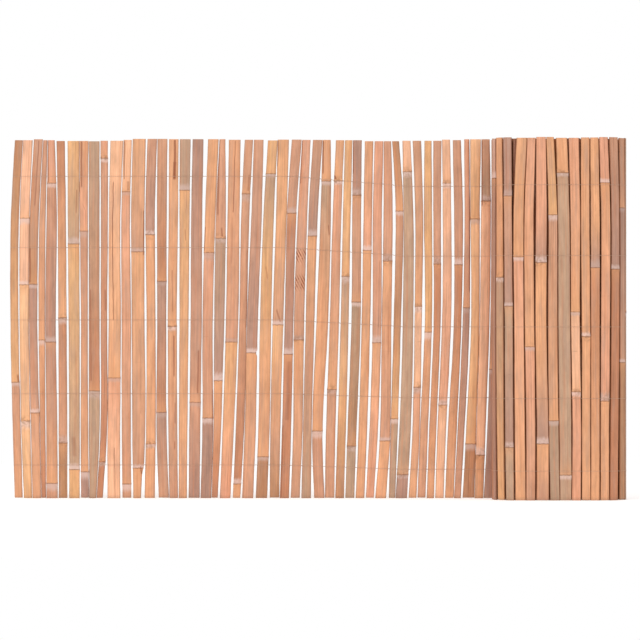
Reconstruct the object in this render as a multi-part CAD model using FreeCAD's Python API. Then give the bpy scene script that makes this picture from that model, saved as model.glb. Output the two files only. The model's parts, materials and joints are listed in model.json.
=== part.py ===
import FreeCAD, Part
import math
import os

# A bamboo fence panel: split bamboo slats side by side on five wires, the far end of the mat
# still rolled up in a flattened roll that stands in front of the panel's plane.
# Millimetres. +Z up along the slats, +X along the panel, the open face looks to -Y.

# Driving sizes
panel_height = 500.0       # cut length of the slats
slat_thickness = 3.4
shoulder_width = 1.8       # the rounded edge of the skin side, across the slat
shoulder_depth = 1.1       # and through its thickness
joint_rise = 0.35          # a joint's ring stands this far proud of both faces
joint_flare = 0.4          # and of both edges
joint_reach = 4.0          # half the length of the swelling at a joint
edge_spread = 0.9          # a slat's thin edges reach this far past its listed width
least_air = 0.35           # but leave this much air beside the next slat
wire_size = 0.6
wire_overlap = 0.5         # a wire bends this far past a slat's edge
roll_depth = 70.0          # outside of the roll, front to back
roll_straight = 118.0      # flat part of each turn, between its two bends
turn_clearance = 0.2       # air left between the wires of two turns
core_radius = 9.0          # no bend of the roll is tighter
slim_radius = 18.5         # bends tighter than this are made of the narrow slats
turn_over = 2.7            # the outer turn runs this far past being level with the back again
groove_depth = 1.2         # how deep the gap between two slats cuts into an inner turn
groove_width = 2.4

sway_shares = (1.0, 0.8, 0.5, 0.19, 0.0)    # levels at which a slat's lean is given, of its height

# Wires: height over the open run, then the lower height from the roll on, in the same parts of
# the panel's height as the joints below
wire_rows = ((449.5, 435.5), (350.0, 338.0), (249.0, 239.4), (146.0, 140.5), (46.5, 40.5))
wire_step_start = 377.0    # along the panel, where each wire starts to dip
wire_step_end = 545.0      # and where it runs level again
wire_level_run = 4.0       # past that, before the part that goes round the roll is joined on
wire_joint_gap = 0.4       # least room between a wire and the swelling of a joint

# Worked out from the sizes above
half_thick = slat_thickness / 2.0
turn_pitch = slat_thickness + 2.0 * wire_size + turn_clearance
outer_radius = (roll_depth - slat_thickness) / 2.0
wire_keepout = joint_reach + wire_size + wire_joint_gap


def level(parts):
    """A height in five-hundredths of the panel's own height, in millimetres."""
    return panel_height * parts / 500.0


def slat(gap, width, sway, joints, ends=(0.0, 0.0), taper=(0.0, 0.0), fuller=(0.0, 0.0)):
    """One slat of the mat.

    gap and width are taken at mid height. sway is how far the centre line stands off
    its mid-height place at the top, upper, lower and foot level. joints are the heights of
    the bamboo's rings, in five-hundredths of the panel's height. ends is how far the top and
    the foot are cut off the common line. taper is how much wider (or narrower) the top and
    the foot are, and fuller how much is added to the width at the upper and lower level.
    """
    spread = [0.0] * len(sway_shares)
    return {"gap": gap, "width": width, "sway": (sway[0], sway[1], 0.0, sway[2], sway[3]),
            "joints": joints, "ends": ends, "taper": taper,
            "fuller": (0.0, fuller[0], 0.0, fuller[1], 0.0),
            "spread": (spread, list(spread)), "flare": [joint_flare, joint_flare]}


# The open run, from its free end to the middle of the roll's back. Each gap is to the slat before.
open_run = [
    slat(0.0, 9.5, (6.2, 0.9, 3.0, 5.8), (162,), (0.0, 0.9)),
    slat(2.8, 11.9, (5.3, 0.9, 2.1, 5.6), (108, 298, 391), (0.0, 0.3), (0.0, -1.4)),
    slat(1.3, 10.2, (8.1, 2.2, 3.3, 5.0), (119, 299), (1.3, 0.0), (1.2, 1.3)),
    slat(3.6, 7.2, (5.2, 1.3, 0.9, 2.4), (221,), (0.0, 0.6), (-1.1, -1.8), (0.3, 0.3)),
    slat(2.1, 13.0, (0.6, 1.7, 1.7, 2.1), (21, 218, 440), (0.0, 0.0), (-4.3, 1.2), (2.0, 0.0)),
    slat(5.2, 9.8, (-2.5, -1.0, 0.8, 0.8), (77, 252), (-1.1, 0.4), (0.0, 0.7)),
    slat(4.6, 13.6, (-0.9, -0.9, 0.5, 0.5), (40, 355), (-1.1, 0.0), (1.4, -0.8)),
    slat(3.5, 7.8, (-0.3, -0.6, 0.1, 0.9), (37, 373), (-1.1, 0.8), (3.3, 1.6)),
    slat(3.2, 13.3, (0.0, 0.0, 0.1, -1.5), (150,), (-1.5, 0.0), (0.0, -4.6), (0.0, 2.9)),
    slat(3.1, 7.4, (0.6, 0.6, -0.3, -6.1), (51, 475), (-0.8, 0.5), (1.3, 0.3)),
    slat(4.0, 15.4, (3.0, -0.2, -1.4, -1.4), (168,), (-0.8, 0.0), (0.8, 0.8), (-1.4, 0.0)),
    slat(2.6, 11.4, (2.2, -0.8, 0.0, 0.8), (20, 428), (0.4, 0.7), (-1.9, -0.7)),
    slat(2.8, 16.2, (1.6, -0.3, 0.9, -0.5), (42, 344), (1.8, 0.0), (0.3, -5.0), (0.6, 3.2)),
    slat(4.3, 10.8, (2.1, -1.0, -0.2, -1.7), (76, 368), (1.8, 0.4), (1.2, 1.8)),
    slat(4.4, 11.0, (0.6, 0.0, -0.4, 3.1), (120, 303), (1.8, 0.9), (1.5, 2.2)),
    slat(3.7, 10.9, (2.2, 1.6, 0.6, 1.4), (240,), (1.4, 0.3), (0.7, 0.0)),
    slat(5.3, 11.0, (1.7, 0.8, -1.2, -1.8), (430,), (1.4, 0.0), (2.4, -1.3)),
    slat(4.6, 14.0, (2.6, 0.8, -2.0, -2.9), (134,), (1.4, 0.6), (-0.4, -0.4)),
    slat(2.5, 12.6, (8.2, 4.0, 0.3, -2.1), (112, 343), (1.4, 0.2), (0.4, 1.4)),
    slat(3.8, 12.5, (4.5, 2.4, -3.0, -6.8), (164, 363), (1.4, 0.8), (-6.0, -5.2), (3.4, 0.0)),
    slat(3.9, 15.6, (3.7, 2.0, -5.4, -9.7), (218,), (0.6, 0.0), (-0.9, -2.6)),
    slat(3.0, 9.4, (8.0, 3.0, -4.8, -9.4), (20, 425), (0.6, 0.5), (0.6, -0.7), (0.0, 1.0)),
    slat(0.9, 14.2, (9.0, 6.1, -2.9, -6.5), (203,), (0.6, 0.0), (-2.4, -0.4)),
    slat(4.7, 14.0, (9.8, 4.5, -2.4, -6.0), (58, 453), (-0.3, 0.3), (-2.1, 0.2)),
    slat(3.6, 13.2, (7.3, 5.2, -3.9, -5.0), (242,), (0.8, 0.9), (1.2, -1.4)),
    slat(3.5, 10.5, (11.2, 3.6, -3.6, -6.8), (201, 398), (0.8, 0.0), (2.2, 1.0)),
    slat(2.5, 12.7, (9.8, 5.0, -1.9, -5.5), (221,), (0.4, 0.6), (-2.0, -2.0)),
    slat(3.9, 10.5, (10.4, 4.2, -3.6, -5.6), (366,), (0.4, 0.0), (1.2, 1.2)),
    slat(4.2, 14.7, (6.1, 4.7, -7.3, -4.1), (94, 443), (0.4, 0.4), (-4.6, -1.8), (0.8, 0.0)),
    slat(3.9, 11.2, (8.0, 3.8, -5.1, -6.7), (152, 443), (0.0, 0.7), (-1.4, 0.4)),
    slat(4.2, 9.4, (5.6, 3.0, -4.2, -7.2), (310,), (0.0, 0.0), (-0.6, 1.0)),
    slat(5.4, 11.2, (2.1, 1.0, -5.6, -8.6), (73, 274, 423), (0.0, 0.5), (-0.7, -0.4)),
    slat(3.3, 10.3, (4.3, 2.6, -4.5, -8.4), (346,), (-1.4, 0.2), (-0.2, 0.0)),
    slat(5.0, 11.3, (2.5, 0.2, -5.2, -10.6), (217,), (-1.4, 0.8), (-0.7, -1.9)),
    slat(0.8, 12.4, (1.6, 2.7, -1.6, -8.2), (80, 331), (-1.4, 0.0), (-3.6, 0.9), (0.8, 0.0)),
    slat(5.0, 8.5, (-2.6, 3.2, -4.7, -7.3), (111, 401), (-1.4, 0.4), (-0.6, -0.6), (1.6, 0.4)),
    slat(4.2, 13.0, (-2.4, 0.2, -4.2, -10.0), (33, 456), (-0.8, 0.0), (-3.4, 2.0), (1.6, 0.0)),
    slat(3.3, 8.4, (-1.8, 1.3, -2.7, -7.9), (155, 268), (-0.8, 0.6), (1.7, 0.8)),
    slat(6.0, 8.2, (-0.6, -0.6, -6.4, -9.7), (232,), (-0.8, 0.9), (0.0, 1.2), (1.4, 1.0)),
    slat(4.0, 8.1, (0.5, 0.1, -6.2, -9.6), (327,), (-0.8, 0.0), (1.5, 0.2)),
    slat(4.0, 10.9, (-1.0, 0.5, -7.0, -10.3), (130, 440), (0.8, 0.3), (-1.3, -0.9)),
    slat(5.4, 9.0, (-1.4, 0.9, -7.6, -11.6), (326,), (0.1, 0.6), (0.8, 1.5), (1.2, 0.8)),
    slat(3.3, 7.9, (0.8, 1.9, -7.2, -12.4), (266,), (1.3, 0.0), (-2.2, 0.0)),
    slat(3.8, 10.3, (0.2, -0.8, -5.7, -9.8), (76, 390), (1.3, 0.8), (3.2, 4.2)),
    slat(1.3, 12.6, (1.3, 2.0, -5.2, -7.7), (60, 415), (1.3, 0.0), (-2.8, -1.2), (1.0, 0.0)),
    slat(2.6, 11.6, (1.0, 1.0, -4.2, -9.8), (180,), (0.4, 0.4), (-1.2, 0.0)),
    slat(2.4, 11.0, (1.0, 0.6, -3.8, -8.0), (262,), (0.8, 0.0)),
    slat(2.3, 11.2, (0.6, 0.3, -3.2, -6.6), (312,), (0.0, 0.6)),
    slat(2.4, 10.8, (0.4, 0.2, -2.6, -5.2), (205,), (-0.8, 0.3)),
    slat(2.3, 11.4, (0.2, 0.0, -1.9, -3.8), (390,), (0.5, 0.0)),
    slat(2.4, 10.6, (0.0, 0.0, -1.2, -2.4), (120,), (-0.5, 0.8)),
    slat(2.3, 11.2, (0.0, 0.0, -0.6, -1.2), (280,), (0.3, 0.2)),
]

# The roll's outer turn, in the order in which the mat runs: the rest of the back, the bend at
# the far end, the front from right to left, and the bend beside the open run.
outer_turn = [
    slat(2.2, 11.8, (0.0, 0.0, 0.0, 0.0), (240,), (0.5, 0.3)),
    slat(2.5, 11.5, (0.0, 0.0, 0.0, 0.0), (330,), (-0.4, 0.0)),
    slat(2.5, 12.0, (0.0, 0.0, 0.0, 0.0), (160,), (0.8, 0.5)),
    slat(2.5, 12.0, (0.0, 0.0, 0.0, 0.0), (400,), (0.0, 0.2)),
    slat(3.0, 11.0, (0.0, 0.0, 0.0, 0.0), (210,), (0.6, 0.0)),
    slat(2.5, 11.5, (0.0, 0.0, 0.0, 0.0), (300,), (-0.6, 0.7)),
    slat(2.5, 9.0, (0.0, 0.0, 0.0, 0.0), (120,), (0.4, 0.0)),
    slat(2.4, 10.0, (0.4, 0.2, 0.0, 0.2), (370,), (1.0, 0.4)),
    slat(2.6, 11.0, (0.8, 0.4, 0.0, 0.0), (260,), (0.9, 0.0)),
    slat(2.6, 11.6, (1.8, 0.6, 0.4, 0.8), (190, 408), (0.4, 0.6)),
    slat(2.8, 12.2, (2.6, -0.4, 1.6, 2.6), (319,), (1.2, 0.0)),
    slat(1.9, 11.6, (3.4, 0.0, 0.9, 0.9), (137, 438), (1.2, 0.5)),
    slat(2.9, 11.0, (1.2, 0.3, -0.2, 0.0), (321,), (0.7, 0.0)),
    slat(1.9, 10.6, (1.0, 1.2, 0.3, -0.2), (226,), (0.7, 0.8)),
    slat(4.1, 11.0, (2.4, 0.2, -2.4, -1.6), (150, 260), (0.2, 0.0), (1.6, 0.0)),
    slat(1.9, 15.2, (4.0, 1.0, -1.5, -1.4), (35, 452), (0.2, 0.4), (-1.2, 0.0)),
    slat(2.8, 11.6, (3.9, -0.2, -1.3, -3.6), (110, 394), (1.4, 0.0), (-1.8, 0.8)),
    slat(3.6, 13.8, (-0.3, -0.8, -2.6, -2.5), (78, 328), (1.4, 0.6), (-0.4, 2.0)),
    slat(2.8, 11.8, (-3.0, 0.5, -1.6, -1.6), (212,), (0.3, 0.0), (-0.8, -1.0)),
    slat(2.7, 12.0, (-3.8, 0.5, -1.2, -2.1), (336,), (0.3, 0.3), (1.0, 1.2)),
    slat(2.6, 10.6, (2.4, 1.4, -0.7, -1.9), (73, 268, 420), (1.0, 0.0), (0.4, 0.6)),
    slat(2.2, 12.4, (1.2, 0.0, -1.2, -3.0), (308,), (1.0, 0.7), (-1.8, -1.2)),
    slat(2.6, 11.6, (0.4, 0.0, -0.2, -1.6), (445,), (0.0, 0.0)),
    slat(2.5, 11.0, (0.0, 0.0, 0.0, 0.0), (180,), (0.6, 0.4)),
    slat(2.5, 11.5, (0.0, 0.0, 0.0, 0.0), (290,), (-0.5, 0.0)),
    slat(2.5, 10.5, (0.0, 0.0, 0.0, 0.0), (350,), (0.3, 0.6)),
    slat(2.5, 11.5, (0.0, 0.0, 0.0, 0.0), (130,), (0.7, 0.2)),
]

# Slat and gap together, along the inner turns, over and over
inner_pitches = (13.6, 15.2, 12.4, 14.4, 11.8, 14.8, 13.0)
core_pitches = (9.6, 10.6, 9.0)    # the narrow slats that take the tight bends of the core


def mat_place(along, start_x):
    """Point, direction of travel and skin-side normal, that far past the middle of the roll's back.

    The mat runs to +X along the back, bends forward, runs back along the front, bends in
    behind the open run, and so on inward. Each half turn is one straight and one bend.
    """
    if along <= roll_straight / 2.0:
        return start_x + along, 0.0, 0.0
    rest = along - roll_straight / 2.0
    back_y = 0.0
    radius = outer_radius
    centre = (start_x + roll_straight / 2.0, -outer_radius)
    heading = 0.0
    while True:
        bend = math.pi * radius
        if rest <= bend:
            turned = rest / radius
            angle = heading - turned
            side = angle + math.pi / 2.0
            x = centre[0] + radius * math.cos(side)
            y = centre[1] + radius * math.sin(side)
            return x, y, angle
        rest -= bend
        heading -= math.pi
        side = heading + math.pi / 2.0
        x = centre[0] + radius * math.cos(side)
        y = centre[1] + radius * math.sin(side)
        if rest <= roll_straight:
            return x + rest * math.cos(heading), y, heading
        rest -= roll_straight
        end_x = x + roll_straight * math.cos(heading)
        radius -= turn_pitch / 2.0
        centre = (end_x, y - radius * math.sin(side))


def length_to(tightest):
    """Length of the mat from the middle of the roll's back to its last bend of that radius or more."""
    total = roll_straight / 2.0
    for turn in range(int((outer_radius - tightest) / (turn_pitch / 2.0))):
        total += math.pi * (outer_radius - turn * turn_pitch / 2.0) + roll_straight
    return total


def between(levels, values, z):
    """A smooth curve through the values at those levels, which run downward."""
    last = len(levels) - 1
    z = min(max(z, levels[last]), levels[0])
    i = 0
    while i < last - 1 and z < levels[i + 1]:
        i += 1
    span = levels[i] - levels[i + 1]
    t = (levels[i] - z) / span

    def slope(k):
        a = max(k - 1, 0)
        b = min(k + 1, last)
        return (values[b] - values[a]) / (levels[a] - levels[b])

    h1 = 2 * t ** 3 - 3 * t ** 2 + 1
    h2 = t ** 3 - 2 * t ** 2 + t
    h3 = -2 * t ** 3 + 3 * t ** 2
    h4 = t ** 3 - t ** 2
    return h1 * values[i] + h2 * span * slope(i) + h3 * values[i + 1] + h4 * span * slope(i + 1)


def edges_at(one, z):
    """Left and right edge of a slat, measured from its own place on the mat."""
    share = z / panel_height
    centre = between(sway_shares, one["sway"], share)
    more = one["taper"][0] if share > 0.5 else one["taper"][1]
    more = more * abs(2.0 * share - 1.0) + between(sway_shares, one["fuller"], share)
    half = (one["width"] + more) / 2.0
    left = between(sway_shares, one["spread"][0], share)
    right = between(sway_shares, one["spread"][1], share)
    return centre - half - left, centre + half + right


def air_between(before, after, z):
    """Room between two neighbours lying flat, at a height and without their joints."""
    apart = after["gap"] + (before["width"] + after["width"]) / 2.0
    return apart + edges_at(after, z)[0] - edges_at(before, z)[1]


def spread_edges():
    """Lets the edges of neighbours, and their joints, spread as far as the air between allows."""
    run = open_run + outer_turn
    headings = [0.0] * len(open_run) + [place[2] for place in outer_places(0.0)[0]]
    for i in range(1, len(run)):
        before = run[i - 1]
        after = run[i]
        lost = 2.0 * half_thick * math.tan(abs(headings[i] - headings[i - 1]) / 2.0)
        spread = []
        for share in sway_shares:
            room = air_between(before, after, panel_height * share) - lost - least_air
            spread.append(min(edge_spread, max(0.0, room / 2.0)))
        before["spread"][1][:] = spread
        after["spread"][0][:] = spread
        for one, side in ((before, 1), (after, 0)):
            room = min(air_between(before, after, level(parts)) for parts in one["joints"])
            room -= lost + least_air
            one["flare"][side] = min(joint_flare, max(0.0, room / 2.0))
    run[0]["spread"][0][:] = [edge_spread] * len(sway_shares)


def wire_height(row, x):
    """Height of a wire, that far from the panel's free end."""
    high, low = wire_rows[row]
    share = (x - wire_step_start) / (wire_step_end - wire_step_start)
    share = min(max(share, 0.0), 1.0)
    return level(high + (low - high) * share)


def stations(one, wires):
    """The heights at which a slat's section is drawn, with its swelling and share of flare there."""
    foot = one["ends"][1]
    top = panel_height + one["ends"][0]
    marks = {foot: (0.0, 0.0), top: (0.0, 0.0)}
    if any(one["sway"]) or any(one["taper"]):
        for share in sway_shares[1:-1]:
            marks[panel_height * share] = (0.0, 0.0)
    for parts in one["joints"]:
        z = level(parts)
        under_wire = min(abs(z - w) for w in wires) < wire_keepout
        rise = 0.0 if under_wire else joint_rise
        for near in [m for m in marks if foot < m < top and abs(m - z) < joint_reach * 2.0]:
            del marks[near]
        marks[z - joint_reach] = (0.0, 0.0)
        marks[z] = (rise, 1.0)
        marks[z + joint_reach] = (0.0, 0.0)
    return sorted(marks.items())


def section(one, z, rise, flare, place):
    """The six corners of a slat at one height: flat inner side, sloping shoulders, flat crown."""
    x, y, heading = place
    left, right = edges_at(one, z)
    left -= flare * one["flare"][0]
    right += flare * one["flare"][1]
    corners = [
        (left, -half_thick - rise),
        (left, half_thick - shoulder_depth + rise),
        (left + shoulder_width, half_thick + rise),
        (right - shoulder_width, half_thick + rise),
        (right, half_thick - shoulder_depth + rise),
        (right, -half_thick - rise),
    ]
    c = math.cos(heading)
    s = math.sin(heading)
    return [FreeCAD.Vector(x + a * c + b * s, y + a * s - b * c, z) for a, b in corners]


def skin_over(sections):
    """A closed solid through a stack of sections, made of flat faces only."""
    faces = []
    for corners in (sections[0], sections[-1]):
        faces.append(Part.Face(Part.makePolygon(corners + corners[:1])))
    for lower, upper in zip(sections, sections[1:]):
        for i in range(len(lower)):
            j = (i + 1) % len(lower)
            loop = [lower[i], lower[j], upper[j], upper[i], lower[i]]
            faces.append(Part.Face(Part.makePolygon(loop)))
    shell = Part.makeShell(faces)
    shell.sewShape()
    solid = Part.makeSolid(shell)
    if solid.Volume < 0.0:
        solid.reverse()
    return solid


def build_slat(one, place, wires):
    return skin_over([section(one, z, rise, flare, place)
                      for z, (rise, flare) in stations(one, wires)])


def open_slats():
    """The slats of the open run, as (solid, place of its centre along X)."""
    made = []
    edge = 0.0
    for one in open_run:
        centre = edge + one["gap"] + one["width"] / 2.0
        wires = [wire_height(row, centre) for row in range(len(wire_rows))]
        made.append((build_slat(one, (centre, 0.0, 0.0), wires), centre))
        edge += one["gap"] + one["width"]
    return made, edge


def outer_places(start_x):
    """Where each slat of the outer turn sits. What the turn is longer goes into its gaps."""
    turn = 1.5 * roll_straight + math.pi * (2.0 * outer_radius - turn_pitch / 2.0) + turn_over
    more = (turn - sum(one["gap"] + one["width"] for one in outer_turn)) / len(outer_turn)
    places = []
    along = 0.0
    for one in outer_turn:
        along += one["gap"] + more
        places.append(mat_place(along + one["width"] / 2.0, start_x))
        along += one["width"]
    return places, along


def outer_slats(places):
    wires = [level(low) for high, low in wire_rows]
    return Part.makeCompound([build_slat(one, place, wires)
                              for one, place in zip(outer_turn, places)])


def inner_turns(start_x, begin):
    """The turns inside the outer one: one wall, grooved where one slat ends and the next begins."""
    outer = []
    inner = []
    along = begin
    end = length_to(core_radius)
    slim_from = length_to(slim_radius)
    count = 0
    while along < end:
        x, y, heading = mat_place(along, start_x)
        out_x = math.sin(heading + math.pi)
        out_y = -math.cos(heading + math.pi)
        for shift, deep in ((-0.5, 0.0), (0.0, groove_depth), (0.5, 0.0)):
            px, py, turned = mat_place(along + shift * groove_width, start_x)
            nx = math.sin(turned + math.pi)
            ny = -math.cos(turned + math.pi)
            outer.append((px + nx * (half_thick - deep), py + ny * (half_thick - deep)))
        inner.append((x - out_x * half_thick, y - out_y * half_thick))
        pitches = core_pitches if along > slim_from else inner_pitches
        along += pitches[count % len(pitches)]
        count += 1
    loop = outer + inner[::-1]
    points = [FreeCAD.Vector(x, y, 0.0) for x, y in loop + loop[:1]]
    return Part.Face(Part.makePolygon(points)).extrude(FreeCAD.Vector(0.0, 0.0, panel_height))


def strip_along(xz_line, y_low):
    """A straight length of wire in the panel's plane: its height follows the line."""
    half = wire_size / 2.0
    low = [FreeCAD.Vector(x, y_low, z - half) for x, z in xz_line]
    high = [FreeCAD.Vector(x, y_low, z + half) for x, z in xz_line]
    loop = low + high[::-1] + low[:1]
    return Part.Face(Part.makePolygon(loop)).extrude(FreeCAD.Vector(0.0, wire_size, 0.0))


def outer_corners(places, row):
    """The ends of every slat's outer face on the outer turn, in plan, at a wire's height."""
    corners = []
    for one, (x, y, heading) in zip(outer_turn, places):
        c = math.cos(heading)
        s = math.sin(heading)
        left, right = edges_at(one, level(wire_rows[row][1]))
        for a in (left - wire_overlap, right + wire_overlap):
            corners.append((x + a * c - half_thick * s, y + a * s + half_thick * c))
    return corners


def without_straight_points(line):
    """The same line in plan, less the points that lie straight between their neighbours."""
    kept = [line[0]]
    for i in range(1, len(line) - 1):
        ax, ay = kept[-1]
        bx, by = line[i]
        cx, cy = line[i + 1]
        if abs((bx - ax) * (cy - by) - (by - ay) * (cx - bx)) > 0.0001:
            kept.append(line[i])
    return kept + [line[-1]]


def pushed_out(line, distance):
    """The line in plan moved to its left by a distance, with its corners kept sharp."""
    moved = []
    for i, (x, y) in enumerate(line):
        ax, ay = line[max(i - 1, 0)]
        bx, by = line[min(i + 1, len(line) - 1)]
        before = math.atan2(y - ay, x - ax) if i > 0 else math.atan2(by - y, bx - x)
        after = math.atan2(by - y, bx - x) if i < len(line) - 1 else before
        bend = math.remainder(after - before, 2.0 * math.pi) / 2.0
        side = before + bend + math.pi / 2.0
        reach = distance / math.cos(bend)
        moved.append((x + reach * math.cos(side), y + reach * math.sin(side)))
    return moved


def binding_wire(row, places, start_x, first_edge):
    """One wire: out along the back, around the roll, and back along the front of the open run."""
    half = wire_size / 2.0
    join_x = wire_step_end + wire_level_run
    low = level(wire_rows[row][1])
    high = level(wire_rows[row][0])
    tail_x = start_x + roll_straight / 2.0
    left = first_edge - wire_size
    back = strip_along([(left, high), (wire_step_start, high), (wire_step_end, low),
                        (join_x, low)], half_thick)
    front = strip_along([(left, high), (wire_step_start, high), (wire_step_end, low),
                         (tail_x, low)], -half_thick - wire_size)
    loop_depth = slat_thickness + 2.0 * wire_size
    loop = Part.makeBox(wire_size, loop_depth, wire_size,
                        FreeCAD.Vector(left, -loop_depth / 2.0, high - half))
    near = without_straight_points([(join_x, half_thick)] + outer_corners(places, row))
    far = pushed_out(near, wire_size)
    plan = [FreeCAD.Vector(x, y, low - half) for x, y in near + far[::-1] + near[:1]]
    around = Part.Face(Part.makePolygon(plan)).extrude(FreeCAD.Vector(0.0, 0.0, wire_size))
    return back.fuse([front, loop, around]).removeSplitter()


def build_panel():
    """Every node by name, in the mat's own frame."""
    nodes = {}
    spread_edges()
    slats, roll_x = open_slats()
    for number, (solid, centre) in enumerate(slats, 1):
        nodes["slat_%02d" % number] = solid
    places, used = outer_places(roll_x)
    nodes["roll_outer_slats"] = outer_slats(places)
    nodes["roll_inner_turns"] = inner_turns(roll_x, used + groove_width)
    for row in range(len(wire_rows)):
        first_edge = slats[0][1] + edges_at(open_run[0], level(wire_rows[row][0]))[0]
        nodes["binding_wire_%d" % (row + 1)] = binding_wire(row, places, roll_x, first_edge)
    return nodes


def main():
    nodes = build_panel()
    box = Part.makeCompound(list(nodes.values())).BoundBox
    middle = FreeCAD.Vector(-box.Center.x, -box.Center.y, -box.ZMin)
    os.makedirs("parts", exist_ok=True)
    for name, shape in nodes.items():
        shape.translate(middle)
        shape.exportStep("parts/" + name + ".step")
    print("box", round(box.XLength, 2), round(box.YLength, 2), round(box.ZLength, 2))
    print("moved", round(middle.x, 3), round(middle.y, 3), round(middle.z, 3))
    print("nodes", len(nodes))


main()
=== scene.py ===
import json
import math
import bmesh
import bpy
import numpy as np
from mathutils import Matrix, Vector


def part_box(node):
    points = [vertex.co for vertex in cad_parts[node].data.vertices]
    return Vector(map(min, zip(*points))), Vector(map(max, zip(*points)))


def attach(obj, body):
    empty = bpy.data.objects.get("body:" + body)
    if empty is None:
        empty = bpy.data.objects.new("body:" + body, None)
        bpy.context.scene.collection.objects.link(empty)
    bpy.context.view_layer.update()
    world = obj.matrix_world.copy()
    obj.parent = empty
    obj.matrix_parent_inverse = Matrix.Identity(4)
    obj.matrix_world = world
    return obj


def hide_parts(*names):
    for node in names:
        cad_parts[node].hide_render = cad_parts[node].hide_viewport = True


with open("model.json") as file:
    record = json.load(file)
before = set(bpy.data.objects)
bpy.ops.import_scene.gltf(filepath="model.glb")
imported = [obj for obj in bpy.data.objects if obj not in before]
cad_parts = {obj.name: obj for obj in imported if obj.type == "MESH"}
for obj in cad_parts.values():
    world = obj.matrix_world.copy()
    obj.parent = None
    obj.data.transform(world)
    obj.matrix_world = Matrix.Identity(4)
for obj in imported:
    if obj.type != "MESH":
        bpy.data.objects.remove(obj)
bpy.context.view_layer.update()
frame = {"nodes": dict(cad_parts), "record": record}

# %% [markdown]
# # A split bamboo fence panel, part of it still rolled up
#
# Bamboo stems are split lengthwise into flat slats and bound side by side with five thin
# twisted wires. This lesson takes the plain CAD slats and gives them what the eye looks for:
# the rings where the stem had its joints, a different straw colour between one joint and the
# next, fine fibres, cracks, sawn ends, and wires that really twist in the gaps.

MM = 0.001
OPEN_SLATS = 52                     # six of them hidden behind the roll
WIRES = 5
SECTIONS = 72                       # cross-sections along a slat that is seen from the front
CORE_SECTIONS = 10                  # and along one that is hidden inside the roll
HALF_THICK = 1.7 * MM               # half of a slat's thickness
WIRE_RADIUS = 0.3 * MM
DRAWN_RADIUS = WIRE_RADIUS * 0.7    # drawn thinner, as faint as in the photograph
JOINT_REACH = 4 * MM                # from a joint to the CAD sections above and below it
ROLL_TRIM = 0.15 * MM               # taken off both edges of the roll's outer slats
WELD = 0.02 * MM                    # points nearer than this are one point
scene = bpy.context.scene

# %% [markdown]
# ## Reading the slats
#
# Each CAD slat is a stack of six-cornered sections, so sorting its points by height and
# taking them six at a time gives the sections back. From them come the way the slat faces,
# its two edges at every height, and its joints, which the CAD draws as a section with one
# more close above it and one close below. The sizes could be written out here again, but then
# the CAD and the scene could drift apart.


# %% Corner points of each solid in a CAD node
def welded(node):
    """A CAD node's mesh, with its loose triangles joined."""
    bm = bmesh.new()
    bm.from_mesh(frame["nodes"][node].data)
    bmesh.ops.remove_doubles(bm, verts=bm.verts, dist=WELD)
    bm.verts.ensure_lookup_table()
    return bm


def solids_of(node):
    """The corner points of each separate solid in a CAD node, as arrays."""
    bm = welded(node)
    seen = set()
    solids = []
    for start in bm.verts:
        if start.index in seen:
            continue
        seen.add(start.index)
        stack = [start]
        found = []
        while stack:
            vert = stack.pop()
            found.append(vert.co[:])
            for edge in vert.link_edges:
                other = edge.other_vert(vert)
                if other.index not in seen:
                    seen.add(other.index)
                    stack.append(other)
        solids.append(np.array(found))
    bm.free()
    return solids


# %% One slat's shape
def is_step(low, high):
    """Whether two sections are as far apart as a joint and the section beside it."""
    return abs(high - low - JOINT_REACH) < 0.1 * MM


def read_slat(points):
    """Which way a slat faces, and its edges and joints by height."""
    rows = points[np.argsort(points[:, 2], kind="stable")].reshape(-1, 6, 3)
    plan = rows[:, :, :2]
    spread = plan[0] - plan[0].mean(axis=0)
    across = np.linalg.svd(spread)[2][0]
    normal = np.array([-across[1], across[0]])
    depth = plan[0] @ normal
    if depth.mean() < (depth.min() + depth.max()) / 2:
        normal = -normal
    across = np.array([-normal[1], normal[0]])
    widths = plan @ across
    depths = plan[0] @ normal
    z = rows[:, :, 2].mean(axis=1)
    joints = []
    keep = np.ones(len(z), dtype=bool)
    for i in range(1, len(z) - 1):
        if is_step(z[i - 1], z[i]) and is_step(z[i], z[i + 1]) and keep[i - 1]:
            joints.append(z[i])
            keep[i] = False
    return {"across": across, "normal": normal, "middle": (depths.min() + depths.max()) / 2,
            "joints": joints, "z": z[keep],
            "left": widths.min(axis=1)[keep], "right": widths.max(axis=1)[keep]}


# %% A smooth curve through a slat's heights
def smooth(z, known_z, known):
    """Values at heights z on a smooth curve through the known ones."""
    slope = np.gradient(known, known_z)
    i = np.clip(np.searchsorted(known_z, z, side="right") - 1, 0, len(known_z) - 2)
    span = known_z[i + 1] - known_z[i]
    t = np.clip((z - known_z[i]) / span, 0, 1)
    a = (2 * t**3 - 3 * t**2 + 1) * known[i] + (t**3 - 2 * t**2 + t) * span * slope[i]
    b = (3 * t**2 - 2 * t**3) * known[i + 1] + (t**3 - t**2) * span * slope[i + 1]
    return a + b


# %% All slats, in the order of the mat
open_run = [read_slat(solids_of("slat_%02d" % n)[0]) for n in range(1, OPEN_SLATS + 1)]
roll_low, roll_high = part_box("roll_outer_slats")
roll_x = (roll_low[0] + roll_high[0]) / 2
roll_y = (roll_low[1] + roll_high[1]) / 2


def way_round(slat):
    """How far round the roll a slat sits, clockwise from the middle of its back."""
    middle = (slat["left"][0] + slat["right"][0]) / 2
    x, y = slat["across"] * middle + slat["normal"] * slat["middle"]
    return (math.pi / 2 - math.atan2(y - roll_y, x - roll_x)) % (2 * math.pi)


outer_turn = sorted((read_slat(p) for p in solids_of("roll_outer_slats")), key=way_round)
mat = open_run + outer_turn
print(len(open_run), "slats in the open run,", len(outer_turn), "round the outer turn")

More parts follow.
